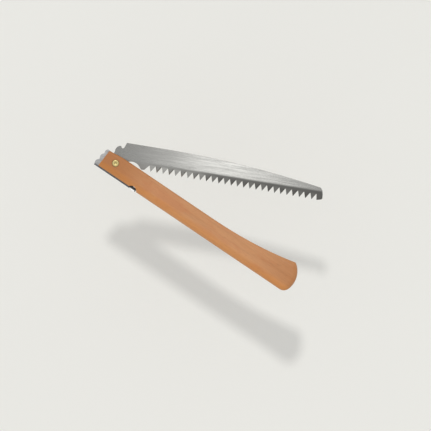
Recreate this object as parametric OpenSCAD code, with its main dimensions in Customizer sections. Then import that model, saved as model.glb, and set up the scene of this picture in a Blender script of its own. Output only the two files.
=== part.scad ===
// Folding pruning saw, lying on its side: +X towards the butt, +Y towards the toothed side, +Z up.
// Shapes are drawn about the blade's pivot, halfway through the thickness, and placed at the end.

/* [Handle] */
// Thickness of the wooden handle
handle_t = 20; // [18:0.5:24]
// Distance from the pivot to the straight back edge
back_depth = 12.6; // [12.4:0.1:13]
// Distance from the pivot to the toothed-side edge of the grip
front_depth = 8.6; // [8.2:0.1:9]
// Distance from the pivot to the end of the butt
butt_reach = 214.5; // [214:0.5:220]
// How far the butt flares out past the grip
flare = 9.9; // [9.5:0.1:10.2]
// Radius along the two back corners
back_round = 8; // [5:0.5:8.5]

/* [Blade] */
// Angle between the blade and the handle as shown
open_angle = 24.8; // [15:0.1:40]
// Thickness of the blade
blade_t = 1.2; // [1:0.1:1.4]
// Distance from the pivot to the blunt toe
toe_reach = 209.5; // [205:0.5:209.5]
// Number of teeth
teeth = 27; // [24:1:27]
// How far a tooth's point is bent to its side
tooth_set = 0.4; // [0.2:0.1:0.5]

/* [Lock] */
// Distance from the pivot to the horn that the lever rides on
horn_r = 18.3; // [18:0.1:18.3]
// Distance from the pivot to the bottom of the lock notch
notch_r = 16.6; // [16.3:0.1:17]
// Gap between the lever's nose and the horn as the blade swings
nose_gap = 0.2; // [0.15:0.05:0.3]

/* [Pivot] */
// Radius of the brass rivet's shank
rivet_r = 2; // [1.8:0.1:2.2]
// Radius of the brass rivet's head
rivet_head_r = 3.4; // [3:0.1:3.8]
// Outer radius of the sleeve that the blade turns on
bush_r = 3; // [2.8:0.1:3.2]

/* [Hidden] */
$fn = 64;
running = 0.05;                 // radial clearance of a part that turns on another
grip_mid = 100;                 // the frame's origin lies this far along the handle from the pivot
half_t = handle_t / 2;
big = 400;

// Head of the handle and the plates in its slot
wood_front = -13.4;             // cut face of the wood at the head, at the back edge
wood_front_top = -12;           // the same, at the toothed side
head_back = 11.3;               // the wood's back edge beside the lever
relief_end = 24.2;              // where that edge ends, inside the finger notch
liner_end = 24;
liner_in = 2;                   // inner face of each liner
liner_out = 3.2;
liner_slot = 3.25;
liner_back = 12.6;

// Butt: a broad end arc with a tight corner above it and a rounder one below
end_r = 22.3;
heel_r = 8;
corner_r = 2.5;
corner_angle = 53.2;
flare_from = 110;
flare_run = butt_reach - 120;
end_c = [butt_reach - end_r, 0];
heel_c = [end_c[0] + sqrt(pow(end_r - heel_r, 2) - pow(back_depth - heel_r, 2)), heel_r - back_depth];
corner_c = end_c + polar(end_r - corner_r, corner_angle);
heel_angle = atan2(heel_c[1], heel_c[0] - end_c[0]);

// Slot for the folded blade
slot_half = 1.8;
slot_floor = -5;
slot_end = butt_reach - 3.3;

// Finger notch and tail pocket
notch_x = 28;
notch_depth_r = 5.2;
pocket_floor = -6.5;
pocket_end = 32.3;

// Lever
lever_pin_at = [10, -8.8];
lever_pin_r = 1.2;
spine_out = -12.9;
spine_t = 1;
cheek_in = 0.9;
cheek_out = 1.9;
nose_front = -17.6;
lock_angle = 118;               // swing from the shown pose to fully open
lever_drop = 3;                 // how far the lever turns to drop its nose in the notch
wall_angle = 70.6;              // direction of the notch's steep wall in the blade's own frame

// Teeth, in the blade's own frame
first_gullet = [33.6, 3.3];
last_gullet = [toe_reach - 6.5, 2];
pitch = (last_gullet[0] - first_gullet[0]) / teeth;
tooth_depth = 6.2;
tip_lead = 2;

// The blade's back, in its own frame
back_top = 22;
back_straight = 45;
back_end = toe_reach - 3;
back_drop = 13.2;

// Recesses for the rivet
bore_r = rivet_r + 0.1;
recess_r = rivet_head_r + 0.25;
recess_floor = 8.7;
head_t = 1.1;
dimple_r = 4;
dimple_depth = 0.4;
burr_r = rivet_head_r + 0.1;
burr_t = 0.9;
washer_r = 6.2;
stop_pin_at = [15, 1.8];
stop_pin_r = 2;
liner_pin_at = [[20.5, -3.5], [20.5, 5]];
liner_pin_r = 1.2;

// A point at a distance and an angle about the pivot.
function polar(r, a) = r * [cos(a), sin(a)];

// Points of an arc about a centre, from one angle to another.
function arc(c, r, a0, a1, n = 12) = [for (i = [0:n]) c + polar(r, a0 + (a1 - a0) * i / n)];

// The toothed-side edge: straight, then rising into the butt by a power curve.
function grip_edge(x) = front_depth + (x > flare_from ? flare * pow((x - flare_from) / flare_run, 2.2) : 0);

// The blade's back: straight, then falling along a parabola to the toe.
function blade_back(x) = back_top - (x > back_straight
    ? back_drop * pow((x - back_straight) / (back_end - back_straight), 2) : 0);

// The bottom of gullet i, and the point of the tooth in front of it, which leans towards the pivot.
function gullet(i) = first_gullet + (last_gullet - first_gullet) * i / teeth;
function tip(i) = gullet(i) + [tip_lead, -tooth_depth];

// Points from p to q that bulge to the right-hand side of the way by a half sine wave.
function lobe(p, q, rise) = let (across = [q[1] - p[1], p[0] - q[0]] / norm(q - p))
    [for (i = [0:8]) p + (q - p) * i / 8 + across * rise * sin(180 * i / 8)];

module in_place() {
    translate([-grip_mid, 0, half_t])
    children();
}

module opened() {
    rotate([0, 0, open_angle])
    children();
}

// A slab of a flat outline between two heights.
module slab(z0, z1) {
    translate([0, 0, z0])
    linear_extrude(z1 - z0)
    children();
}

// ---- Wooden handle ----

module handle_outline() {
    polygon(concat(
        [[wood_front, -back_depth], [wood_front_top, 7], [3, grip_edge(3)]],
        [for (x = [flare_from:8:flare_from + 88]) [x, grip_edge(x)]],
        arc(corner_c, corner_r, 103, corner_angle, 5),
        arc(end_c, end_r, corner_angle - 5, heel_angle, 12),
        arc(heel_c, heel_r, heel_angle - 10, -90, 6)));
}

// Cross-section of the handle, Y by Z, with both back corners rounded.
module handle_section() {
    translate([-back_depth + back_round, -half_t])
    square([60, handle_t]);
    translate([-back_depth, -half_t + back_round])
    square([60, handle_t - 2 * back_round]);
    for (side = [-1, 1])
        translate([-back_depth + back_round, side * (half_t - back_round)])
        circle(back_round);
}

module wooden_handle() {
    color("peru")
    in_place()
    difference() {
        intersection() {
            slab(-half_t, half_t) handle_outline();
            translate([-20, 0, 0])
            rotate([90, 0, 90])
            linear_extrude(260)
            handle_section();
        }
        // Relief beside the lever, and the slot for the liners
        translate([-30, -big - head_back, -half_t - 1])
        cube([30 + relief_end, big, handle_t + 2]);
        translate([-30, -20, -liner_slot])
        cube([30 + liner_end, 60, 2 * liner_slot]);
        // Slot for the blade
        translate([liner_end - 1, slot_floor, -slot_half])
        cube([slot_end - liner_end + 1, 60, 2 * slot_half]);
        // Pocket for the lever's tail, and the finger notch across the back
        translate([liner_end - 1, -20, -liner_slot])
        cube([pocket_end - liner_end + 1, 20 + pocket_floor, 2 * liner_slot]);
        translate([notch_x, -back_depth - 1.6, -half_t - 1])
        cylinder(r = notch_depth_r, h = handle_t + 2);
        // Rivet bore with a recess in each face
        cylinder(r = bore_r, h = handle_t + 2, center = true);
        for (side = [-1, 1])
            translate([0, 0, side * (recess_floor + 2)])
            cylinder(r = recess_r, h = 4, center = true);
        // Blind holes for the pins that hold the liners
        for (p = liner_pin_at)
            translate(p)
            cylinder(r = liner_pin_r, h = 12, center = true);
    }
}

// ---- Liners ----

// The front edge is three shallow lobes, each a half sine wave on its chord, leaning forward at the back.
module liner_outline() {
    polygon(concat(
        lobe([-13.9, 7.4], [-15.1, 2.1], 1.1),
        lobe([-15.1, 2.1], [-16, -5.2], 1.5),
        lobe([-16, -5.2], [-17.2, -liner_back], 1.7),
        [[liner_end - 0.3, -liner_back], [liner_end - 0.3, 7.4]]));
}

module liner(side) {
    color("silver")
    in_place()
    mirror([0, 0, side < 0 ? 1 : 0])
    difference() {
        slab(liner_in, liner_out) liner_outline();
        cylinder(r = bore_r, h = 10);
        translate(lever_pin_at)
        cylinder(r = lever_pin_r, h = 10);
        translate(stop_pin_at)
        cylinder(r = stop_pin_r, h = 10);
        for (p = liner_pin_at)
            translate(p)
            cylinder(r = liner_pin_r, h = 10);
    }
}

module front_liner() {
    liner(1);
}

module rear_liner() {
    liner(-1);
}

// ---- Blade ----

module blade_outline() {
    polygon(concat(
        // Heel, teeth and toe
        [[26, -2], [29.1, -1.8]],
        [for (i = [0:teeth - 1]) each [gullet(i), tip(i)]],
        [last_gullet],
        [[toe_reach - 5.6, -3.9], [toe_reach - 1.2, -2.8], [toe_reach, -1.2], [toe_reach - 1.2, 6.2]],
        // Back, from the toe to the corner by the notch
        [for (i = [0:14]) let (x = back_end - (back_end - back_straight) * i / 14) [x, blade_back(x)]],
        [polar(23.4, wall_angle)],
        // Lock notch with a round bottom, then the horn and the shoulder
        [for (step = [[1.4, 0], [0.5, 1.2], [0.1, 3], [0, 5], [0.1, 7], [0.5, 8.6], [1.1, 9.7]])
            polar(notch_r + step[0], wall_angle + step[1])],
        [polar(horn_r - 0.1, 81.6), polar(horn_r, 83), polar(horn_r - 0.5, 88.5)],
        [[-1.5, 16.2], [-2.6, 14], [-2.8, 11.3]],
        arc([0, 0], 10.5, 112, 375, 30),
        [[12.7, 4], [17.7, 4.3], [22.5, 2]]));
}

// Each tooth is a wedge whose point stands out to its own side of the blade.
module tooth_wedge(i) {
    side = i % 2 == 0 ? 1 : -1;
    a = gullet(i);
    translate([a[0] - 0.05, a[1] - tooth_depth - 0.5, 0])
    mirror([0, 0, side < 0 ? 1 : 0])
    rotate([90, 0, 90])
    linear_extrude(pitch)
    polygon([
        [0, blade_t / 2 + tooth_set],
        [tooth_depth + 0.5, blade_t / 2],
        [tooth_depth + 0.5, -blade_t / 2],
        [0, -blade_t / 2 + tooth_set]]);
}

module blade() {
    color("lightsteelblue")
    in_place()
    opened()
    difference() {
        union() {
            slab(-blade_t / 2, blade_t / 2)
            difference() {
                blade_outline();
                translate([first_gullet[0], -10])
                square([last_gullet[0] - first_gullet[0], 10 + 2]);
            }
            intersection() {
                slab(-3, 3) blade_outline();
                union()
                for (i = [0:teeth - 1])
                    tooth_wedge(i);
            }
        }
        cylinder(r = bush_r + running, h = 10, center = true);
    }
}

// ---- Lock lever ----

module lever_cheek_outline() {
    difference() {
        polygon([[-17.6, spine_out], [-17.6, -11.4], [-13, -9.4], [-3, -10], [5, -8.8], [8, -6.6], [12, -6.6],
            [15, -8.6], [23.5, -9], [30.4, -9.6], [31.7, -10.8], [31.7, spine_out]]);
        translate(lever_pin_at)
        circle(lever_pin_r + running);
    }
}

// What is cut away so that the nose, once dropped, clears what stands there then.
module when_dropped() {
    translate(lever_pin_at)
    rotate([0, 0, lever_drop])
    translate(-lever_pin_at)
    children();
}

// The nose is a wedge. It clears the circle that the horn sweeps, and dropped it fills the open blade's
// notch.
module lever_nose_outline() {
    difference() {
        translate([nose_front, spine_out])
        square([4.6, 4.6]);
        circle(horn_r + nose_gap, $fn = 180);
        when_dropped() {
            circle(notch_r + 0.1, $fn = 180);
            rotate([0, 0, lock_angle + open_angle + wall_angle + 0.3])
            translate([0, -60])
            square([60, 60]);
        }
    }
}

module lock_lever() {
    color("gainsboro")
    in_place() {
        for (side = [0, 1])
            mirror([0, 0, side])
            slab(cheek_in, cheek_out) lever_cheek_outline();
        slab(-cheek_in, cheek_in) lever_nose_outline();
        // Spine behind the window that the horn passes through
        translate([-3, spine_out, -cheek_in])
        cube([34.7, spine_t, 2 * cheek_in]);
        // Thumb pad on the tail
        translate([24.3, -13.6, -3])
        cube([6.6, 1.7, 6]);
    }
}

module lever_pin() {
    color("dimgray")
    in_place()
    translate(lever_pin_at)
    slab(-liner_out, liner_out)
    circle(lever_pin_r);
}

// Leaf spring under the tail: one foot on the spine, the free end against the pocket's floor.
module lever_spring() {
    color("slategray")
    in_place()
    slab(-0.8, 0.8)
    polygon([[17.5, -11.85], [22, -11.85], [31.5, -7], [31.5, -6.55], [30.9, -6.55], [21.8, -11.3],
        [17.5, -11.3]]);
}

// ---- Pivot ----

module pivot_rivet() {
    color("gold")
    in_place()
    difference() {
        union() {
            slab(-half_t + 0.3, recess_floor) circle(rivet_r);
            slab(recess_floor, recess_floor + head_t) circle(rivet_head_r);
        }
        translate([0, 0, recess_floor + head_t - dimple_depth + dimple_r])
        sphere(dimple_r, $fn = 48);
    }
}

module rivet_burr() {
    color("gold")
    in_place()
    slab(-recess_floor - burr_t, -recess_floor)
    difference() {
        circle(burr_r);
        circle(rivet_r);
    }
}

module pivot_bush() {
    color("darkgoldenrod")
    in_place()
    slab(-liner_in, liner_in)
    difference() {
        circle(bush_r);
        circle(rivet_r);
    }
}

module washer(side) {
    color("darkgoldenrod")
    in_place()
    mirror([0, 0, side < 0 ? 1 : 0])
    slab(blade_t / 2 + 0.1, liner_in)
    difference() {
        circle(washer_r);
        circle(bush_r);
    }
}

module front_washer() {
    washer(1);
}

module rear_washer() {
    washer(-1);
}

module closed_stop_pin() {
    color("dimgray")
    in_place()
    translate(stop_pin_at)
    slab(-liner_out, liner_out)
    circle(stop_pin_r);
}

module liner_pins(side) {
    color("dimgray")
    in_place()
    mirror([0, 0, side < 0 ? 1 : 0])
    for (p = liner_pin_at)
        translate(p)
        slab(liner_in, 6)
        circle(liner_pin_r);
}

module front_liner_pins() {
    liner_pins(1);
}

module rear_liner_pins() {
    liner_pins(-1);
}

wooden_handle();
blade();
front_liner();
rear_liner();
lock_lever();
lever_pin();
lever_spring();
pivot_rivet();
rivet_burr();
pivot_bush();
front_washer();
rear_washer();
closed_stop_pin();
front_liner_pins();
rear_liner_pins();
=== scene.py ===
"""Finished surfaces for a folding pruning saw: beech handle, toothed steel blade, lock lever and brass rivet.

The outlines are drawn in millimetres about the blade's pivot, X along the handle to the butt and Y to the
toothed side. placed() turns them into metres in the row's frame, with its origin on the handle's lower side.
"""

import math

import bmesh
import bpy
import numpy as np
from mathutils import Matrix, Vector


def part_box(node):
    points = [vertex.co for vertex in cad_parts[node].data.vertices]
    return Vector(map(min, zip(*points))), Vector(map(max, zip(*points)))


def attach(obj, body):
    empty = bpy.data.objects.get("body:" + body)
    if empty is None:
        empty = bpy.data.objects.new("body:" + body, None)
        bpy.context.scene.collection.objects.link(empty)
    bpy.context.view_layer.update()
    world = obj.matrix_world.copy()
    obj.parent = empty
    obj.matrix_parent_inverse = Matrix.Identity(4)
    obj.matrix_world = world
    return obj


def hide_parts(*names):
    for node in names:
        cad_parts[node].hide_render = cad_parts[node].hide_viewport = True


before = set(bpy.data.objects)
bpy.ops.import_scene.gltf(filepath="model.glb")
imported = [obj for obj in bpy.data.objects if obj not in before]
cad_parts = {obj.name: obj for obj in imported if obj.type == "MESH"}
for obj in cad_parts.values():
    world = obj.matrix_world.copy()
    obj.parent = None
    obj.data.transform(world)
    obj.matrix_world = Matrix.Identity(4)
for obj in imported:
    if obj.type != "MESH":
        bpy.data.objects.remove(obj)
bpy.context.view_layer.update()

bl_info = {
    "name": "Folding Pruning Saw",
    "version": (1, 0, 0),
    "blender": (4, 5, 0),
    "location": "View3D > Sidebar > Saw",
    "description": "Builds the finished handle, blade, lock lever and rivet of a folding pruning saw",
    "category": "Object",
}

MM = 0.001
HANDLE_LOW, HANDLE_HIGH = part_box("wooden_handle")
HALF_T = (HANDLE_HIGH[2] - HANDLE_LOW[2]) / 2 / MM
PIVOT = ((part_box("pivot_bush")[0][0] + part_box("pivot_bush")[1][0]) / 2 / MM, 0.0, HALF_T)
BUTT_X = HANDLE_HIGH[0] / MM - PIVOT[0]
BACK_Y = HANDLE_LOW[1] / MM
HEAD_X = HANDLE_LOW[0] / MM - PIVOT[0]
SWING = 24.8        # degrees from the handle to the blade at rest
WALL = 70.6         # degrees, the steep side of the blade's lock notch
TOE_X = 209.5       # the blade's toe
FALL_X = 45         # where the blade's back starts to fall
GRIP_Y = 8.6        # the handle's toothed side, where it is level
FLARE_X = 110       # where that side starts to rise into the butt
LINER_GAP = 3.25    # half the height of the gap that the liners fill
LINER_END = 24
SLOT_HALF = 1.8     # half the height of the slot for the blade
SLOT_FLOOR = -5
SLOT_STOP = 3.3     # wood left between the slot and the butt's end
RELIEF_END, RELIEF_Y = 24.2, -11.3    # wood taken away beside the lever
POCKET_END, POCKET_Y = 32.3, -6.5     # pocket for the lever's tail
FINGER_X, FINGER_R, FINGER_OUT = 28, 5.2, 1.6    # round notch, centred outside the back edge
RECESS_R, RECESS_FLOOR = 3.65, 8.7    # recesses for the rivet's head and the burr
RIVET_BORE_R = 2.1
BLADE_BORE_R = 3.05
STEEL_EASE = 0.12   # easing of the sheet's cut edges
FOLD_EASE = 0.05    # easing inside the folded lever
VIEW_CENTRE = (0.0118, 0.0126)    # metres, middle of the view in the row's frame
CARD_POWER, SUN_POWER, ROOM_POWER = 2.0, 0.84, 0.78


# ---- Sizes and colours that a user would change ----


class SawHandleSizes(bpy.types.PropertyGroup):
    """Roundings of the wooden handle, in millimetres."""

    back_round: bpy.props.FloatProperty(
        name="Back rounding", description="Radius along the back", default=7.8, min=4, max=8.5)
    front_round: bpy.props.FloatProperty(
        name="Front rounding", description="Radius beside the slot", default=2.4, min=1, max=4)
    butt_round: bpy.props.FloatProperty(
        name="Butt rounding", description="Radius round the butt", default=5.0, min=2, max=7)
    head_round: bpy.props.FloatProperty(
        name="Head rounding", description="Radius at the cut head", default=0.7, min=0.3, max=2)


class SawBladeSizes(bpy.types.PropertyGroup):
    """Sizes of the blade, in millimetres."""

    thickness: bpy.props.FloatProperty(
        name="Thickness", description="Sheet thickness", default=1.2, min=1, max=1.4)
    teeth: bpy.props.IntProperty(
        name="Teeth", description="Number of teeth", default=27, min=24, max=27)
    tooth_set: bpy.props.FloatProperty(
        name="Set", description="Bend of a tooth's point", default=0.38, min=0.1, max=0.4)
    filing: bpy.props.FloatProperty(
        name="Filing", description="Width of the filed bevels", default=1.1, min=0.4, max=1.6)


class SawFinishes(bpy.types.PropertyGroup):
    """Colours of the wood and metals, as linear values."""

    wood: bpy.props.FloatVectorProperty(
        name="Wood", description="Colour of the oiled beech", subtype="COLOR",
        default=(0.535, 0.247, 0.099), min=0, max=1)
    wood_deep: bpy.props.FloatVectorProperty(
        name="Deep wood", description="Colour of the redder grain", subtype="COLOR",
        default=(0.410, 0.153, 0.040), min=0, max=1)
    steel: bpy.props.FloatVectorProperty(
        name="Steel", description="Colour of the ground steel", subtype="COLOR",
        default=(0.74, 0.73, 0.686), min=0, max=1)
    brass: bpy.props.FloatVectorProperty(
        name="Brass", description="Colour of the rivet", subtype="COLOR",
        default=(0.54, 0.437, 0.198), min=0, max=1)


class SawStage(bpy.types.PropertyGroup):
    """Floor, light and camera."""

    drop: bpy.props.FloatProperty(
        name="Floor drop", description="Floor below the saw", default=0.15, unit="LENGTH")
    distance: bpy.props.FloatProperty(
        name="Camera distance", description="Camera above the saw", default=4.0, unit="LENGTH")
    span: bpy.props.FloatProperty(
        name="View span", description="Width seen at the saw", default=0.431, unit="LENGTH")
    roll: bpy.props.FloatProperty(
        name="Roll", description="Slope of the handle across the view", subtype="ANGLE",
        default=math.radians(34))


# ---- Shapes worked out as whole arrays ----


def placed(points, swing=0.0):
    """Millimetres about the pivot to metres in the row's frame, after a turn about Z by swing degrees."""
    points = np.asarray(points, float)
    c, s = math.cos(math.radians(swing)), math.sin(math.radians(swing))
    x, y, z = points.T
    return (np.column_stack([c * x - s * y, s * x + c * y, z]) + PIVOT) * MM


def arc(centre, radius, start, end, count):
    """Points on a circle: the centre plus the radius times cosine and sine of evenly spaced angles."""
    a = np.radians(np.linspace(start, end, count))
    return np.column_stack([centre[0] + radius * np.cos(a), centre[1] + radius * np.sin(a)])


def resample(outline, step):
    """The same closed outline with points spaced evenly by length, linearly between its own points."""
    closed = np.vstack([outline, outline[:1]])
    along = np.concatenate([[0], np.cumsum(np.hypot(*np.diff(closed, axis=0).T))])
    places = np.linspace(0, along[-1], int(along[-1] / step), endpoint=False)
    return np.column_stack([np.interp(places, along, closed[:, k]) for k in (0, 1)])


def outward(outline):
    """Unit normals of an anticlockwise outline: the tangent between neighbours, turned by -90 degrees."""
    tangent = np.roll(outline, -1, axis=0) - np.roll(outline, 1, axis=0)
    tangent /= np.maximum(np.linalg.norm(tangent, axis=1, keepdims=True), 1e-9)
    return np.column_stack([tangent[:, 1], -tangent[:, 0]])


def ring_faces(rings, count):
    """Quads between each ring of count points and the next."""
    i = np.arange(count)
    j = (i + 1) % count
    quads = np.column_stack([i, j, j + count, i + count])
    return np.vstack([quads + ring * count for ring in range(rings - 1)])


def plate(outline, low, high, edge):
    """A flat plate with eased edges: its outline at four heights, drawn in by edge at the end ones."""
    drawn_in = outline - outward(outline) * edge
    heights = [(drawn_in, low), (outline, low + edge), (outline, high - edge), (drawn_in, high)]
    count = len(outline)
    points = np.vstack([np.column_stack([ring, np.full(count, z)]) for ring, z in heights])
    faces = ring_faces(4, count).tolist()
    faces.append(list(range(count))[::-1])
    faces.append(list(range(3 * count, 4 * count)))
    return points, faces


def turned_part(profile, count=96):
    """A turned part: each (radius, height) of the profile carried round Z, with a flat cap at both ends."""
    a = np.linspace(0, 2 * math.pi, count, endpoint=False)
    r, z = np.array(profile, float).T
    heights = np.repeat(z[:, None], count, 1)
    points = np.stack([np.outer(r, np.cos(a)), np.outer(r, np.sin(a)), heights], axis=2)
    faces = ring_faces(len(profile), count).tolist()
    faces.append(list(range(count))[::-1])
    faces.append(list(range((len(profile) - 1) * count, len(profile) * count)))
    return points.reshape(-1, 3), faces


def joined(parts):
    """One set of points and faces from several, with face numbers moved on past the points before them."""
    points, faces, offset = [], [], 0
    for p, f in parts:
        points.append(p)
        faces += [[v + offset for v in face] for face in f]
        offset += len(p)
    return np.vstack(points), faces


def new_object(name, points, faces, sharp=30.0):
    """A mesh object from points in metres, merged, with faces turned outwards and sharp past an angle."""
    mesh = bpy.data.meshes.new(name)
    mesh.from_pydata(points.tolist(), [], faces)
    piece = bpy.data.objects.new(name, mesh)
    bpy.context.scene.collection.objects.link(piece)
    tidy_mesh(mesh, sharp)
    return piece


def tidy_mesh(mesh, sharp):
    """Merges doubles, turns the faces outwards, and smooths all but the sharp edges."""
    work = bmesh.new()
    work.from_mesh(mesh)
    bmesh.ops.remove_doubles(work, verts=work.verts, dist=2e-6)
    bmesh.ops.dissolve_degenerate(work, edges=work.edges, dist=1e-6)
    bmesh.ops.recalc_face_normals(work, faces=work.faces)
    work.to_mesh(mesh)
    work.free()
    mesh.polygons.foreach_set("use_smooth", np.ones(len(mesh.polygons), bool))
    mesh.set_sharp_from_angle(angle=math.radians(sharp))
    mesh.update()


def cut(piece, cutters, sharp=30.0):
    """Takes closed shapes, given as points in metres and faces, out of a piece for good."""
    for number, (points, faces) in enumerate(cutters):
        cutter = new_object(f"{piece.name}_cutter_{number}", points, faces)
        step = piece.modifiers.new("cut", "BOOLEAN")
        step.operation = "DIFFERENCE"
        step.solver = "EXACT"
        step.object = cutter
        graph = bpy.context.evaluated_depsgraph_get()
        result = bpy.data.meshes.new_from_object(piece.evaluated_get(graph))
        piece.modifiers.clear()
        old = piece.data
        piece.data = result
        bpy.data.meshes.remove(old)
        bpy.data.objects.remove(cutter)
    piece.data.name = piece.name
    tidy_mesh(piece.data, sharp)


def block(low, high):
    """A cutter: the box between two corners, in millimetres about the pivot."""
    (x0, y0, z0), (x1, y1, z1) = low, high
    outline = np.array([[x0, y0], [x1, y0], [x1, y1], [x0, y1]])
    points = np.vstack([np.column_stack([outline, np.full(4, z)]) for z in (z0, z1)])
    return placed(points), ring_faces(2, 4).tolist() + [[3, 2, 1, 0], [4, 5, 6, 7]]


def rod(centre, radius, low, high, count=64):
    """A cutter: a round rod between two heights."""
    points, faces = turned_part([(radius, low), (radius, high)], count)
    return placed(points + [centre[0], centre[1], 0]), faces


# ---- Materials ----


class Shader:
    """A material with its Principled shader, and short ways to add nodes to it."""

    def __init__(self, name):
        self.material = bpy.data.materials.new(name)
        self.material.use_nodes = True
        self.tree = self.material.node_tree
        self.surface = next(n for n in self.tree.nodes if n.type == "BSDF_PRINCIPLED")
        self.where = self.tree.nodes.new("ShaderNodeTexCoord").outputs["Object"]

    def node(self, kind, values=None, **settings):
        """A node of that kind: settings are its own, and values go to its inputs as numbers or links."""
        made = self.tree.nodes.new(kind)
        for key, value in settings.items():
            setattr(made, key, value)
        for key, value in (values or {}).items():
            if isinstance(value, bpy.types.NodeSocket):
                self.tree.links.new(value, made.inputs[key])
            else:
                made.inputs[key].default_value = value
        return made

    def mapped(self, scale=(1, 1, 1), turn=0.0, shift=(0, 0, 0)):
        """Object coordinates shifted so that shift is the centre, turned about Z and scaled."""
        moved = self.node("ShaderNodeMapping", {"Vector": self.where, "Location": [-s for s in shift]})
        turned = self.node("ShaderNodeMapping", {"Vector": moved.outputs[0], "Rotation": (0, 0, -turn)})
        return self.node("ShaderNodeMapping", {"Vector": turned.outputs[0], "Scale": scale}).outputs[0]

    def noise(self, vector, scale, detail=3.0, rough=0.5, distortion=0.0):
        """Layered noise between 0 and 1."""
        return self.node("ShaderNodeTexNoise", {
            "Vector": vector, "Scale": scale, "Detail": detail, "Roughness": rough, "Distortion": distortion,
        }).outputs["Fac"]

    def ramp(self, value, stops):
        """A colour ramp through (place, colour) stops, a plain number standing for a grey."""
        made = self.node("ShaderNodeValToRGB", {"Fac": value})
        band = made.color_ramp
        while len(band.elements) < len(stops):
            band.elements.new(0.5)
        for element, (place, colour) in zip(band.elements, stops):
            element.position = place
            element.color = (colour, colour, colour, 1) if isinstance(colour, (int, float)) else (*colour, 1)
        return made.outputs["Color"]

    def range(self, value, low, high, to_low=0.0, to_high=1.0, smooth=False):
        """A number carried from one range to another and held at its ends."""
        made = self.node("ShaderNodeMapRange", {
            "Value": value, "From Min": low, "From Max": high, "To Min": to_low, "To Max": to_high})
        made.interpolation_type = "SMOOTHSTEP" if smooth else "LINEAR"
        return made.outputs["Result"]

    def maths(self, operation, a, b=0.0):
        """One arithmetic step on numbers or links."""
        return self.node("ShaderNodeMath", {0: a, 1: b}, operation=operation).outputs[0]

    def mix(self, factor, a, b, blend="MIX"):
        """Two colours mixed, the second over the first by factor."""
        made = self.node("ShaderNodeMix", data_type="RGBA", blend_type=blend)
        for index, value in ((0, factor), (6, a), (7, b)):
            if isinstance(value, bpy.types.NodeSocket):
                self.tree.links.new(value, made.inputs[index])
            elif index == 0:
                made.inputs[0].default_value = value
            else:
                made.inputs[index].default_value = (*tuple(value)[:3], 1)
        return made.outputs[2]

    def axes(self, vector):
        """The three coordinates of a vector."""
        return self.node("ShaderNodeSeparateXYZ", {"Vector": vector}).outputs

    def bump(self, height, depth, strength=1.0, over=None):
        """Bumps of that depth in metres, optionally on top of others."""
        values = {"Height": height, "Distance": depth, "Strength": strength}
        if over is not None:
            values["Normal"] = over
        return self.node("ShaderNodeBump", values).outputs["Normal"]

    def finish(self, **inputs):
        """Sets the shader's own inputs, with underscores for the spaces in their names."""
        for key, value in inputs.items():
            socket = self.surface.inputs[key.replace("_", " ")]
            if isinstance(value, bpy.types.NodeSocket):
                self.tree.links.new(value, socket)
            else:
                socket.default_value = value
        return self.material


def paint(piece, *materials):
    """Gives a piece its materials in place of any that it has."""
    piece.data.materials.clear()
    for material in materials:
        piece.data.materials.append(material)


def beech(finishes):
    """Oiled beech: long soft grain, fine pores and short dark flecks along the handle.

    It is redder at the head and the butt; along the back a brighter amber is painted light, for how the light
    falls on the back rounding.
    """
    s = Shader("oiled_beech")
    lengthwise = s.mapped(scale=(1.0, 9.0, 9.0))
    broad = s.noise(lengthwise, 9.0, 4, 0.55, 0.6)
    streaks = s.noise(s.mapped(scale=(1.0, 26.0, 26.0)), 22.0, 5, 0.6, 0.3)
    pores = s.noise(s.mapped(scale=(1.0, 14.0, 14.0)), 160.0, 2, 0.5)
    specks = s.noise(s.mapped(scale=(1.0, 5.5, 5.5)), 260.0, 1, 0.4)
    flecks = s.ramp(specks, [(0.0, 1.0), (0.28, 1.0), (0.36, 0.0)])
    wood, deep = tuple(finishes.wood), tuple(finishes.wood_deep)
    russet, painted_back_light = (0.50, 0.195, 0.070), (0.70, 0.27, 0.055)
    pale = tuple(min(1, c * 1.1) for c in wood)
    colour = s.ramp(broad, [(0.28, deep), (0.45, wood), (0.75, pale)])
    grain = s.ramp(streaks, [(0.30, tuple(c * 0.80 for c in wood)), (0.52, wood), (0.72, pale)])
    colour = s.mix(0.6, colour, grain)
    x, y, _ = s.axes(s.where)
    head = s.range(x, (PIVOT[0] + 55) * MM, (PIVOT[0] - 8) * MM, 0.0, 1.0, True)
    butt = s.range(x, (PIVOT[0] + BUTT_X - 55) * MM, (PIVOT[0] + BUTT_X) * MM, 0.0, 0.55, True)
    wander = s.maths("MULTIPLY", s.maths("SUBTRACT", broad, 0.5), 16 * MM)
    # Painted light: the back rounding, which faces away from the sun, is lifted to a brighter amber.
    back = s.range(s.maths("ADD", y, wander), -2 * MM, (BACK_Y + 1) * MM, 0.0, 0.50, True)
    mottle = s.noise(s.mapped(scale=(1.0, 3.0, 3.0)), 26.0, 4, 0.55, 0.5)
    patches = s.range(mottle, 0.42, 0.58, 0.0, 0.70, True)
    colour = s.mix(patches, colour, russet)
    colour = s.mix(s.maths("MAXIMUM", head, butt), colour, deep)
    colour = s.mix(back, colour, painted_back_light)
    dark = tuple(c * 0.42 for c in deep)
    colour = s.mix(s.maths("MULTIPLY", flecks, 0.14), colour, dark)
    colour = s.mix(s.range(pores, 0.30, 0.40, 0.22, 0.0), colour, dark)
    worn = s.range(s.noise(s.where, 30.0, 3), 0.35, 0.7, 0.40, 0.55)
    normal = s.bump(pores, 0.00006, 0.5)
    normal = s.bump(streaks, 0.00012, 0.4, normal)
    return s.finish(Base_Color=colour, Roughness=worn, Normal=normal, Coat_Weight=0.12, Coat_Roughness=0.35,
                    Specular_IOR_Level=0.4)


def blade_vector(shader, scale=(1, 1, 1)):
    """Coordinates along and across the blade, in metres from the pivot."""
    return shader.mapped(scale=scale, turn=math.radians(SWING), shift=(PIVOT[0] * MM, 0, PIVOT[2] * MM))


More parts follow.
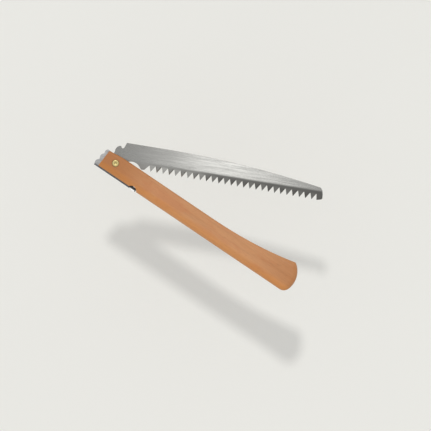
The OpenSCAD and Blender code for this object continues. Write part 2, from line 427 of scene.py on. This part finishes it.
def ground_steel(finishes):
    """Blade steel: fine lines ground lengthwise, a painted highlight brightest mid-blade, darker at the
    hardened teeth.
    """
    s = Shader("ground_steel")
    along, across, _ = s.axes(blade_vector(s))
    lines = s.noise(blade_vector(s, (1.0, 120.0, 120.0)), 28.0, 4, 0.65)
    strokes = s.noise(blade_vector(s, (1.0, 22.0, 22.0)), 30.0, 4, 0.75)
    haze = s.noise(blade_vector(s, (1.0, 3.0, 3.0)), 24.0, 3, 0.5)
    steel = tuple(finishes.steel)
    # Painted highlight: the base colour is brightest mid-blade and dims towards heel and toe, standing in for
    # a reflected light.
    painted_highlight = s.ramp(s.range(along, 0.0, 0.21), [
        (0.0, 0.30), (0.10, 0.36), (0.26, 0.53), (0.40, 0.88),
        (0.54, 0.95), (0.68, 0.80), (0.87, 0.55), (1.0, 0.36)])
    colour = s.mix(1.0, steel, painted_highlight, "MULTIPLY")
    colour = s.mix(s.range(lines, 0.35, 0.65, 0.0, 0.15), colour, tuple(c * 0.45 for c in steel))
    colour = s.mix(s.range(strokes, 0.38, 0.64, 0.0, 0.50), colour, tuple(c * 0.30 for c in steel))
    colour = s.mix(s.range(haze, 0.5, 0.72, 0.0, 0.12), colour, tuple(c * 0.30 for c in steel))
    hard = s.range(s.maths("ADD", across, s.maths("MULTIPLY", s.maths("SUBTRACT", haze, 0.5), 0.0012)),
                   0.0068, 0.0042, 0.0, 1.0, True)
    past_heel = s.range(along, 0.018, 0.110, 0.12, 0.92, True)
    scale_grey = (0.088, 0.086, 0.079)
    colour = s.mix(s.maths("MULTIPLY", hard, past_heel), colour, scale_grey)
    rough = s.maths("ADD", s.range(lines, 0.3, 0.7, 0.20, 0.30), s.maths("MULTIPLY", hard, 0.22))
    normal = s.bump(lines, 0.00002, 0.18)
    return s.finish(Base_Color=colour, Metallic=1.0, Roughness=rough, Normal=normal)


def sheet_steel(name, finishes, shade, rough, back_shade=0.75):
    """Stamped sheet steel: a faint cloud of handling marks on a satin face, with painted shade towards the
    saw's back.
    """
    s = Shader(name)
    marks = s.noise(s.mapped(scale=(1.0, 1.6, 1.0)), 150.0, 3, 0.5)
    scratches = s.noise(s.mapped(scale=(1.0, 30.0, 30.0), turn=0.5), 60.0, 2, 0.5)
    tone = tuple(c * shade * t for c, t in zip(finishes.steel, (0.99, 1.0, 1.04)))
    colour = s.mix(s.range(marks, 0.40, 0.62, 0.0, 0.55), tone, tuple(c * 0.5 for c in tone))
    colour = s.mix(s.range(scratches, 0.60, 0.68, 0.0, 0.3), colour, tuple(min(1, c * 1.3) for c in tone))
    roughness = s.range(marks, 0.3, 0.7, rough - 0.06, rough + 0.1)
    _, y, _ = s.axes(s.where)
    # Painted shade: darker towards the saw's back, where the wood shadows the recessed steel edge.
    edge = s.range(y, (BACK_Y + 1.8) * MM, (BACK_Y + 1.0) * MM, 0.0, back_shade, True)
    painted_shade = (0.07, 0.075, 0.085)
    colour = s.mix(edge, colour, painted_shade)
    normal = s.bump(marks, 0.00002, 0.1)
    return s.finish(Base_Color=colour, Metallic=1.0, Roughness=roughness, Normal=normal)


def satin_brass(finishes):
    """Satin brass: turned rings about the rivet's axis and a greenish tarnish in spots and in the dimple."""
    s = Shader("satin_brass")
    centred = s.mapped(shift=(PIVOT[0] * MM, 0, PIVOT[2] * MM))
    x, y, _ = s.axes(centred)
    radius = s.maths("SQRT", s.maths("ADD", s.maths("MULTIPLY", x, x), s.maths("MULTIPLY", y, y)))
    rings = s.noise(s.node("ShaderNodeCombineXYZ", {"X": radius}).outputs[0], 9000.0, 2, 0.5)
    stain = s.noise(s.where, 700.0, 3, 0.6)
    brass = tuple(finishes.brass)
    tarnish = (0.30, 0.27, 0.085)
    spots = s.range(stain, 0.50, 0.70, 0.0, 0.20)
    core = s.range(radius, 0.0016, 0.0004, 0.0, 0.35, True)
    colour = s.mix(s.maths("MAXIMUM", spots, core), brass, tarnish)
    colour = s.mix(s.range(rings, 0.4, 0.6, 0.0, 0.12), colour, tarnish)
    return s.finish(Base_Color=colour, Metallic=1.0, Roughness=s.range(stain, 0.3, 0.7, 0.30, 0.46),
                    Normal=s.bump(rings, 0.00001, 0.4))


# ---- Outlines of the saw's own pieces ----


def grip_edge(x):
    """Toothed-side edge of the handle: level, then rising into the butt by the 2.2 power of the way along."""
    return GRIP_Y + 9.9 * (np.clip(x - FLARE_X, 0, None) / (BUTT_X - 120)) ** 2.2


def handle_outline():
    """The handle's outline, anticlockwise: back, butt in three arcs that meet smoothly, toothed side, head.

    The heel's centre lies where a circle of its radius touches both the back edge and the end arc.
    """
    end_r, heel_r, corner_r, corner_angle = 22.3, 8.0, 2.5, 53.2
    end_x = BUTT_X - end_r
    heel_dx = math.sqrt((end_r - heel_r) ** 2 - (BACK_Y + heel_r) ** 2)
    heel_angle = math.degrees(math.atan2(BACK_Y + heel_r, heel_dx))
    corner = polar(end_r - corner_r, corner_angle)
    tail = np.linspace(200, FLARE_X, 45)
    return np.vstack([
        [[HEAD_X, BACK_Y]],
        arc((end_x + heel_dx, BACK_Y + heel_r), heel_r, -90, heel_angle, 16),
        arc((end_x, 0), end_r, heel_angle + 2, corner_angle - 2, 40),
        arc((end_x + corner[0], corner[1]), corner_r, corner_angle, 103, 14),
        np.column_stack([tail, grip_edge(tail)]),
        [[3, GRIP_Y], [HEAD_X + 1.4, 7.0]],
    ])


def blade_back(x):
    """The blade's back: straight, then falling to the toe by the square of the way along."""
    return 22 - 13.2 * (np.clip(x - FALL_X, 0, None) / (TOE_X - 3 - FALL_X)) ** 2


def polar(radius, angle):
    """A point at a distance and an angle about the pivot."""
    return [radius * math.cos(math.radians(angle)), radius * math.sin(math.radians(angle))]


def gullets(teeth):
    """Bottoms of the gullets, evenly spaced on the line from heel to toe."""
    t = np.linspace(0, 1, teeth + 1)[:, None]
    return np.array([33.6, 3.3]) * (1 - t) + np.array([TOE_X - 6.5, 2.0]) * t


def blade_outline(teeth):
    """The blade without its teeth, anticlockwise in its own frame."""
    falling = np.linspace(TOE_X - 3, FALL_X, 40)
    smooth_toe = [[TOE_X - back, y] for back, y in (
        (5.6, -3.9), (3.4, -3.4), (1.2, -2.8), (0.35, -2.2), (0, -1.2), (0.3, 2.5), (1.2, 6.2))]
    return np.vstack([
        [[26, -2], [29.1, -1.8]],
        gullets(teeth),
        smooth_toe,
        np.column_stack([falling, blade_back(falling)]),
        [polar(23.4, WALL)],
        [polar(16.6 + up, WALL + on)
         for up, on in ((1.4, 0), (0.5, 1.2), (0.1, 3), (0, 5), (0.1, 7), (0.5, 8.6), (1.1, 9.7))],
        [polar(18.2, 81.6), polar(18.3, 83), polar(17.8, 88.5)],
        [[-1.5, 16.2], [-2.6, 14], [-2.8, 11.3]],
        arc((0, 0), 10.5, 112, 375, 60),
        [[12.7, 4], [15.3, 4.35], [17.7, 4.3], [20.2, 3.4], [22.5, 2.0]],
    ])


def tooth_solids(sizes):
    """All teeth at once: full triangle on the set side, a smaller one opposite, filed bevels between them."""
    roots = gullets(sizes.teeth)
    near, far = roots[:-1], roots[1:]
    point = near + [2.0, -6.2]
    side = np.where(np.arange(sizes.teeth) % 2 == 0, 1.0, -1.0)
    half = sizes.thickness / 2
    lift = np.array([0, 0.35])
    inset = np.array([sizes.filing, 0])
    flat = np.stack([near + lift, point, far + lift, near + lift + inset * 0.5, point + [0.25, 2.0],
                     far + lift - inset], axis=1)
    height = np.stack([half * side, (half + sizes.tooth_set) * side, half * side,
                       -half * side, (-half + sizes.tooth_set * 0.65) * side, -half * side], axis=1)
    points = np.concatenate([flat, height[:, :, None]], axis=2).reshape(-1, 3)
    one = [[0, 1, 2], [5, 4, 3], [0, 3, 4, 1], [1, 4, 5, 2], [2, 5, 3, 0]]
    faces = [[6 * i + v for v in face] for i in range(sizes.teeth) for face in one]
    return points, faces


# ---- Operators: one for each piece or group of like pieces ----


class SawOperator:
    """What all the operators share."""

    bl_options = {"REGISTER", "UNDO"}

    @classmethod
    def poll(cls, context):
        return context.scene is not None


class SAW_OT_handle(SawOperator, bpy.types.Operator):
    """Make the wooden handle"""

    bl_idname = "saw.handle"
    bl_label = "Wooden Handle"

    def surface(self, sizes):
        """Half height: the slab's half thickness less the deepest cut of a rounding along the outline.

        The grid runs round the outline and in to the handle's middle line. A rounding of radius r lowers a
        point at a distance d from the outline by r minus the root of r squared less (r minus d) squared.
        """
        outline = resample(handle_outline(), 1.0)
        x, y = outline.T
        at_head = (x < HEAD_X + 1.8) & (y > BACK_Y + 0.6) & (y < 6.8)
        at_butt = np.clip((x - (BUTT_X - 34)) / 22, 0, 1)
        along = np.where(y < -2, sizes.back_round, sizes.front_round)
        radius = np.where(at_head, sizes.head_round, along * (1 - at_butt) + sizes.butt_round * at_butt)
        middle_x = np.clip(x, HEAD_X + 9, BUTT_X - 15)
        middle = np.column_stack([middle_x, (grip_edge(middle_x) + BACK_Y) / 2])
        steps = 1 - np.cos(np.linspace(0, math.pi / 2, 30))
        rings = outline[None] + (middle - outline)[None] * steps[:, None, None]
        flat = rings.reshape(-1, 2)
        drop = np.zeros(len(flat))
        batch = 2000
        for start in range(0, len(flat), batch):
            part = flat[start:start + batch]
            d = np.hypot(part[:, None, 0] - x[None], part[:, None, 1] - y[None])
            inside = np.clip(radius[None] - d, 0, None)
            cut_depth = radius[None] - np.sqrt(np.maximum(radius[None] ** 2 - inside ** 2, 0))
            drop[start:start + batch] = cut_depth.max(axis=1)
        height = HALF_T - drop
        count = len(outline)
        top = np.column_stack([flat, height])
        under = np.column_stack([flat, -height])
        faces = ring_faces(len(steps), count)
        lower = faces[:, ::-1] + len(flat)
        i = np.arange(count)
        wall = np.column_stack([i, i + len(flat), (i + 1) % count + len(flat), (i + 1) % count])
        return np.vstack([top, under]), np.vstack([faces, lower, wall]).tolist()

    def execute(self, context):
        sizes = context.scene.saw_handle
        points, faces = self.surface(sizes)
        piece = new_object("beech_handle", placed(points), faces, 50.0)
        high = HALF_T + 1
        # Corners at x -30 and at y -40, -20, 40 and 60 only have to lie outside the wood.
        relief = block((-30, -40, -high), (RELIEF_END, RELIEF_Y, high))
        liner_gap = block((-30, -20, -LINER_GAP), (LINER_END, 40, LINER_GAP))
        blade_slot = block((LINER_END - 1, SLOT_FLOOR, -SLOT_HALF), (BUTT_X - SLOT_STOP, 60, SLOT_HALF))
        tail_pocket = block((LINER_END - 1, -20, -LINER_GAP), (POCKET_END, POCKET_Y, LINER_GAP))
        finger_notch = rod((FINGER_X, BACK_Y - FINGER_OUT), FINGER_R, -high, high)
        bore = rod((0, 0), RIVET_BORE_R, -high, high)
        recesses = [rod((0, 0), RECESS_R, RECESS_FLOOR, high), rod((0, 0), RECESS_R, -high, -RECESS_FLOOR)]
        cutters = [relief, liner_gap, blade_slot, tail_pocket, finger_notch, bore, *recesses]
        cut(piece, cutters, 40.0)
        paint(piece, beech(context.scene.saw_finishes))
        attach(piece, "handle")
        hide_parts("wooden_handle")
        return {"FINISHED"}


class SAW_OT_blade(SawOperator, bpy.types.Operator):
    """Make the toothed blade"""

    bl_idname = "saw.blade"
    bl_label = "Blade"

    def execute(self, context):
        sizes = context.scene.saw_blade
        half = sizes.thickness / 2
        body = plate(blade_outline(sizes.teeth), -half, half, STEEL_EASE)
        piece = new_object("ground_blade", placed(body[0], SWING), body[1], 20.0)
        cut(piece, [rod((0, 0), BLADE_BORE_R, -2, 2)], 20.0)
        teeth = tooth_solids(sizes)
        row = new_object("blade_teeth", placed(teeth[0], SWING), teeth[1], 10.0)
        steel = ground_steel(context.scene.saw_finishes)
        for made in (piece, row):
            paint(made, steel)
            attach(made, "blade")
        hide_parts("blade")
        return {"FINISHED"}


class SAW_OT_lever(SawOperator, bpy.types.Operator):
    """Make the lock lever: two cheeks, the spine that joins them, the nose and the thumb tab"""

    bl_idname = "saw.lever"
    bl_label = "Lock Lever"

    def tab(self):
        """The thumb tab: its outer side swells along most of half a sine wave."""
        half_width = 2.95
        t = np.linspace(0, 1, 41)
        outer = np.column_stack([24.4 + 6.4 * t, -12.33 - 1.2 * np.sin(0.8 * np.pi * t)])
        inner = [[30.8, -11.95], [24.4, -11.95]]
        return plate(np.vstack([outer, inner]), -half_width, half_width, STEEL_EASE)

    def execute(self, context):
        cheek = np.array([
            [-17.6, -12.9], [31.7, -12.9], [31.7, -10.8], [31.2, -10.1], [30.4, -9.6], [23.5, -9], [15, -8.6],
            [12, -6.7], [8, -6.7], [5, -8.8], [-3, -10], [-13, -9.4], [-17.2, -11.2], [-17.6, -11.6]])
        nose = np.array([[-17.5, -12.85], [-13.4, -12.85], [-14.4, -11.8], [-15.2, -11.3], [-17.5, -12.6]])
        spine = np.array([[-3, -12.9], [31.7, -12.9], [31.7, -11.9], [-3, -11.9]])
        inner_face, outer_face, between = 0.9, 1.9, 0.95
        parts = [
            plate(cheek, inner_face, outer_face, STEEL_EASE),
            plate(cheek, -outer_face, -inner_face, STEEL_EASE),
            plate(nose, -between, between, FOLD_EASE),
            plate(spine, -between, between, FOLD_EASE),
        ]
        finishes = context.scene.saw_finishes
        sheet = new_object("lock_lever_sheet", *self.in_metres(joined(parts)))
        tab = new_object("thumb_tab", *self.in_metres(self.tab()))
        # Painted shade: the lever's sheet is near black, standing in for the shadow inside the finger notch
        # and along the back of the head.
        paint(sheet, sheet_steel("lever_steel", finishes, 0.14, 0.40, 0.35))
        # Painted light: the thumb tab is made extra bright and left without the back shade, to offset the
        # wood's shadow on it.
        paint(tab, sheet_steel("tab_steel", finishes, 1.3, 0.30, 0.0))
        for piece in (sheet, tab):
            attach(piece, "lever")
        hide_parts("lock_lever")
        return {"FINISHED"}

    def in_metres(self, shape):
        """The points of a shape placed in the row's frame, and its faces."""
        return placed(shape[0]), shape[1]


class SAW_OT_rivet(SawOperator, bpy.types.Operator):
    """Make the brass rivet and its burr"""

    bl_idname = "saw.rivet"
    bl_label = "Rivet and Burr"

    def execute(self, context):
        foot = [(0.05, -9.68), (1.3, -9.66), (1.8, -9.5), (2.0, -9.2)]
        head = [
            (2.0, 8.7), (3.3, 8.7), (3.4, 8.8), (3.4, 9.45), (3.3, 9.65), (3.1, 9.76), (2.7, 9.79),
            (1.7, 9.8), (1.3, 9.74), (1.0, 9.6), (0.75, 9.46), (0.45, 9.38), (0.05, 9.36)]
        points, faces = turned_part(foot + head)
        rivet = new_object("brass_rivet", placed(points), faces)
        washer = [
            (2.05, -8.7), (3.4, -8.7), (3.5, -8.8), (3.5, -9.45), (3.35, -9.6), (2.3, -9.6), (2.05, -9.5)]
        ring, ring_sides = turned_part(washer + washer[:1])
        # The burr's profile closes on itself, so the two end caps are left off.
        burr = new_object("brass_burr", placed(ring), ring_sides[:-2])
        brass = satin_brass(context.scene.saw_finishes)
        for piece, node in ((rivet, "pivot_rivet"), (burr, "rivet_burr")):
            paint(piece, brass)
            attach(piece, "handle")
            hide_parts(node)
        return {"FINISHED"}


class SAW_OT_plain_metal(SawOperator, bpy.types.Operator):
    """Give the liners, pins, washers, bush and spring their metals"""

    bl_idname = "saw.plain_metal"
    bl_label = "Liners and Small Metal"

    def execute(self, context):
        finishes = context.scene.saw_finishes
        bright = sheet_steel("liner_steel", finishes, 0.56, 0.34)
        dark = sheet_steel("pin_steel", finishes, 0.42, 0.4)
        brass = satin_brass(finishes)
        groups = (
            (bright, ("front_liner", "rear_liner")),
            (dark, ("lever_pin", "lever_spring", "closed_stop_pin", "front_liner_pins", "rear_liner_pins")),
            (brass, ("pivot_bush", "front_washer", "rear_washer")),
        )
        for material, names in groups:
            for name in names:
                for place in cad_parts[name].material_slots:
                    place.material = material
        return {"FINISHED"}


class SAW_OT_stage(SawOperator, bpy.types.Operator):
    """Make the floor, the lights and the camera"""

    bl_idname = "saw.stage"
    bl_label = "Stage"

    def soft_light(self, name, place, size, power, aim):
        """An area light at a place, facing the aim."""
        lamp = bpy.data.lights.new(name, "AREA")
        lamp.shape = "DISK"
        lamp.size = size
        lamp.energy = power
        made = bpy.data.objects.new(name, lamp)
        made.location = place
        made.rotation_euler = (Vector(aim) - Vector(place)).to_track_quat("-Z", "Y").to_euler()
        bpy.context.scene.collection.objects.link(made)

    def execute(self, context):
        stage = context.scene.saw_stage
        roll = stage.roll
        right = np.array([math.cos(roll), math.sin(roll), 0])
        up = np.array([-math.sin(roll), math.cos(roll), 0])
        centre = np.array([*VIEW_CENTRE, HALF_T * MM])

        reach = 3.0
        corners = np.array([[-reach, -reach], [reach, -reach], [reach, reach], [-reach, reach]])
        points = np.column_stack([corners, np.full(4, -stage.drop)])
        floor = new_object("floor", points, [[0, 1, 2, 3]])
        s = Shader("pale_floor")
        cloud = s.range(s.noise(s.where, 3.0, 2), 0.3, 0.7)
        tone = s.mix(cloud, (0.805, 0.795, 0.745), (0.815, 0.805, 0.755))
        paint(floor, s.finish(Base_Color=tone, Roughness=0.9, Specular_IOR_Level=0.1))

        card_place = centre + right * 0.13 + up * 0.31 + [0, 0, 4.5]
        self.soft_light("top_card", tuple(card_place), 0.77, CARD_POWER, tuple(centre))
        key = bpy.data.lights.new("key_light", "SUN")
        key.energy = SUN_POWER
        key.angle = math.radians(4.5)
        sun = bpy.data.objects.new("key_light", key)
        sun.rotation_euler = Vector(up - 0.1 * right + [0, 0, 2.1]).to_track_quat("Z", "Y").to_euler()
        context.scene.collection.objects.link(sun)

        world = bpy.data.worlds.new("pale_room")
        world.use_nodes = True
        background = world.node_tree.nodes["Background"]
        background.inputs["Color"].default_value = (0.97, 0.98, 1.0, 1)
        background.inputs["Strength"].default_value = ROOM_POWER
        context.scene.world = world

        lens = bpy.data.cameras.new("camera")
        lens.sensor_width = 36.0
        lens.lens = 36.0 * stage.distance / stage.span
        camera = bpy.data.objects.new("camera", lens)
        camera.location = tuple(centre + [0, 0, stage.distance])
        camera.rotation_euler = (0, 0, roll)
        context.scene.collection.objects.link(camera)
        context.scene.camera = camera
        context.scene.view_settings.view_transform = "Standard"
        return {"FINISHED"}


class SAW_PT_panel(bpy.types.Panel):
    """Lists the pieces of the saw"""

    bl_idname = "SAW_PT_panel"
    bl_label = "Folding Pruning Saw"
    bl_space_type = "VIEW_3D"
    bl_region_type = "UI"
    bl_category = "Saw"

    def draw(self, context):
        for operator in OPERATORS:
            self.layout.operator(operator.bl_idname)
        for group in (context.scene.saw_handle, context.scene.saw_blade, context.scene.saw_finishes,
                      context.scene.saw_stage):
            box = self.layout.box()
            for name in group.__annotations__:
                box.prop(group, name)


OPERATORS = (SAW_OT_handle, SAW_OT_blade, SAW_OT_lever, SAW_OT_rivet, SAW_OT_plain_metal, SAW_OT_stage)
GROUPS = {
    "saw_handle": SawHandleSizes,
    "saw_blade": SawBladeSizes,
    "saw_finishes": SawFinishes,
    "saw_stage": SawStage,
}


def register():
    for made in (*GROUPS.values(), *OPERATORS, SAW_PT_panel):
        bpy.utils.register_class(made)
    for name, group in GROUPS.items():
        setattr(bpy.types.Scene, name, bpy.props.PointerProperty(type=group))


def unregister():
    for name in GROUPS:
        delattr(bpy.types.Scene, name)
    for made in reversed((*GROUPS.values(), *OPERATORS, SAW_PT_panel)):
        bpy.utils.unregister_class(made)


def main():
    """Registers the add-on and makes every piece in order."""
    register()
    for operator in OPERATORS:
        area, name = operator.bl_idname.split(".")
        getattr(getattr(bpy.ops, area), name)()


if __name__ == "__main__":
    main()
